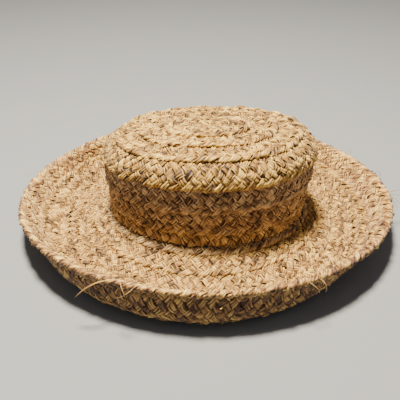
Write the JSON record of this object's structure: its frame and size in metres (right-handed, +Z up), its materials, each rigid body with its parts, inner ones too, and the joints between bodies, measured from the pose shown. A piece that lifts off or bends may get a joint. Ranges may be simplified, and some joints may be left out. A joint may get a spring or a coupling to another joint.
{
  "type": "wide-brim plaited straw sun hat",
  "caption": "Wide-brim sun hat of spiral-sewn plaited raffia: domed oval crown, flat brim turned up steeply at the rim, open underneath for the head.",
  "frame": {"origin": "on the surface that the hat rests on, under the middle of the brim", "axes": "+Z up out of the crown, +X along the long way of the head oval, -Y towards the side that the picture shows in front"},
  "size_m": [0.396, 0.374, 0.1141],
  "materials": {
    "raffia_crown": "natural dried raffia plait, matt with a faint waxy sheen",
    "raffia_crown_side": "natural dried raffia plait, slightly darker, matt",
    "raffia_brim": "natural dried raffia plait, matt",
    "raffia_rim": "natural dried raffia plait, pale, with the folded strands of the plait's edge"
  },
  "bodies": {
    "root": {"crown_tip": "raffia_crown", "crown_top_row_1": "raffia_crown", "crown_top_row_2": "raffia_crown", "crown_shoulder_row": "raffia_crown", "crown_side_row_1": "raffia_crown_side", "crown_side_row_2": "raffia_crown_side", "crown_base_row": "raffia_crown_side", "brim_row_1": "raffia_brim", "brim_row_2": "raffia_brim", "brim_row_3": "raffia_brim", "brim_row_4": "raffia_brim", "brim_edge_row": "raffia_rim"}
  },
  "joints": []
}
